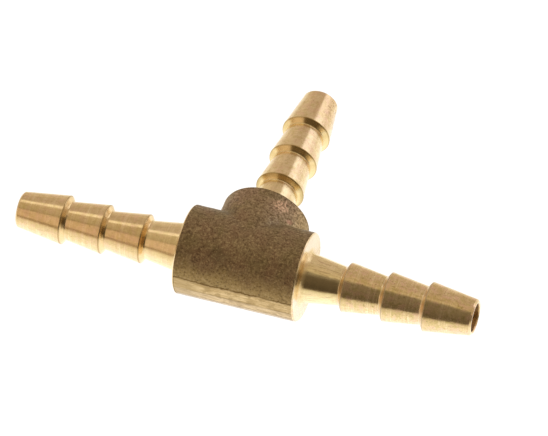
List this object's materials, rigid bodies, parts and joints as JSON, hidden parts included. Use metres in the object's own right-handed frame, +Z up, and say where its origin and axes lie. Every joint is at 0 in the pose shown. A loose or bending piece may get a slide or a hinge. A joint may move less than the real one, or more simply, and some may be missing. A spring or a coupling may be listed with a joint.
{
  "type": "barbed tee connector",
  "caption": "Brass hose tee: a forged tee-shaped body with turned barbed tails on its run and branch, joined by one through waterway.",
  "frame": {"origin": "middle of the whole part's footprint, on the plane that it lies on", "axes": "+X along the run, +Y from the run towards the branch tail's tip, +Z up out of the plane that the tee lies on"},
  "size_m": [0.0662, 0.0394, 0.0126],
  "materials": {
    "forged_brass": "as forged, dull olive-brown skin with a fine grain",
    "machined_brass": "turned, bright satin with fine tool marks"
  },
  "bodies": {
    "root": {"tee_body": "forged_brass", "run_tail_left": "machined_brass", "run_tail_right": "machined_brass", "branch_tail": "machined_brass"}
  },
  "joints": []
}
